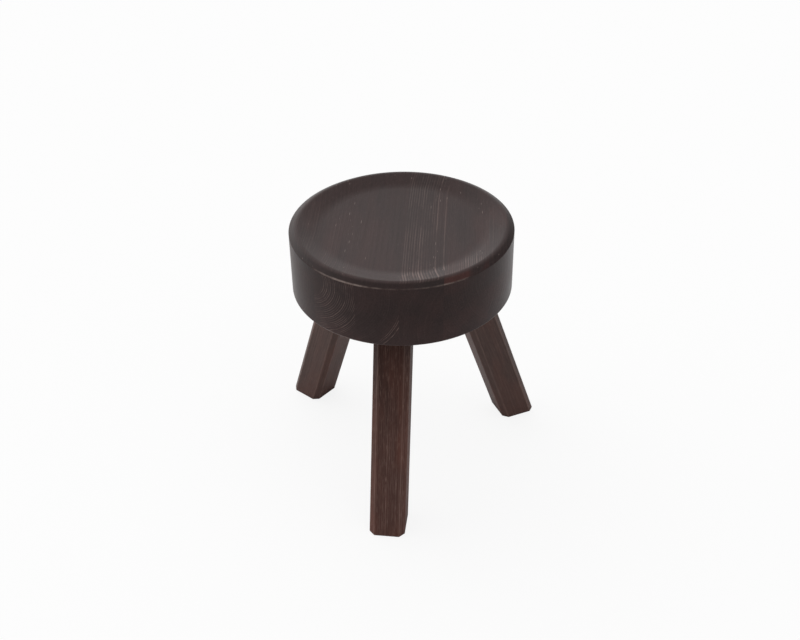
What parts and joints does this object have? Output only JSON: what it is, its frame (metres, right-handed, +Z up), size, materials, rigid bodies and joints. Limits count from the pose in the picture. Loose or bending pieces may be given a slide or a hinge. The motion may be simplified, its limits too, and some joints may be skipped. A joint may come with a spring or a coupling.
{
  "type": "three-legged round stool",
  "caption": "Low round stool with a very thick, dished, glued-up pine seat on splayed square legs with chamfered edges, stained dark brown.",
  "frame": {"origin": "on the floor under the axis of the round seat", "axes": "+Z up along the axis of the seat; -Y towards the front leg; +X to the right as seen from the front leg"},
  "size_m": [0.3762, 0.3578, 0.376],
  "materials": {
    "seat_pine": "dark brown stain, satin lacquer",
    "leg_pine": "dark brown stain, satin lacquer",
    "wedge_beech": "raw"
  },
  "bodies": {
    "root": {"seat_board_left_3": "seat_pine", "seat_board_left_2": "seat_pine", "seat_board_left_1": "seat_pine", "seat_board_right_1": "seat_pine", "seat_board_right_2": "seat_pine", "seat_board_right_3": "seat_pine", "leg_front": "leg_pine", "leg_right": "leg_pine", "leg_left": "leg_pine", "wedge_front": "wedge_beech", "wedge_right": "wedge_beech", "wedge_left": "wedge_beech"}
  },
  "joints": []
}
